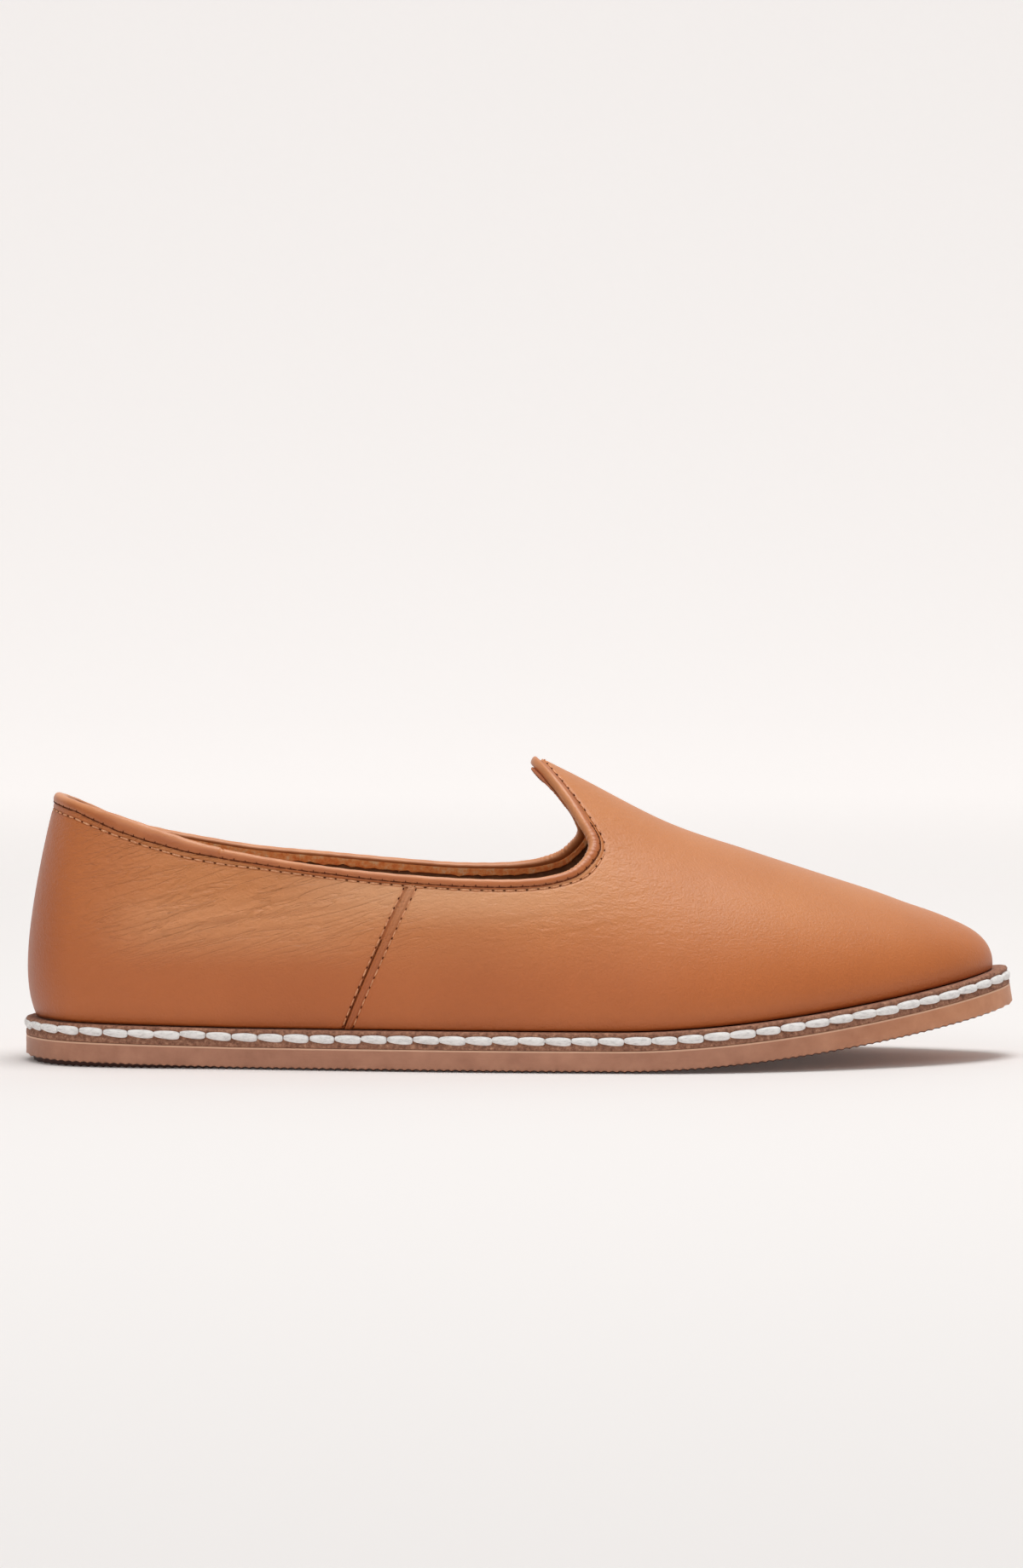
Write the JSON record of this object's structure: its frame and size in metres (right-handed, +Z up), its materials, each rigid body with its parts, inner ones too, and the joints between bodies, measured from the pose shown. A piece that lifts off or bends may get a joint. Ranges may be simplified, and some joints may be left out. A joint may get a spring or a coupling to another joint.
{
  "type": "slip-on shoe",
  "caption": "Leather slip-on shoe with an almond toe, peaked vamp, low bound collar, stitched leather welt and thin rubber outsole.",
  "frame": {"origin": "middle of the bounding box's bottom, on the floor the shoe stands on", "axes": "+X from heel to toe, +Z up, +Y to the inner side of the foot"},
  "size_m": [0.2854, 0.097, 0.0882],
  "materials": {
    "upper_leather": "tan smooth leather with fine creases and a soft gloss",
    "binding_leather": "thin tan leather folded over the collar's edge",
    "lining_leather": "raw brown suede side, matt",
    "welt_leather": "dark brown veg-tanned leather with a rough cut edge",
    "insole_leather": "natural leather sock, matt",
    "gum_rubber": "slightly translucent gum rubber, satin",
    "welt_thread": "thick waxed off-white cotton thread",
    "seam_thread": "fine tan and brown sewing thread"
  },
  "bodies": {
    "root": {"outsole": "gum_rubber", "welt": "welt_leather", "insole": "insole_leather", "upper": "upper_leather", "collar_binding": "binding_leather"}
  },
  "joints": []
}
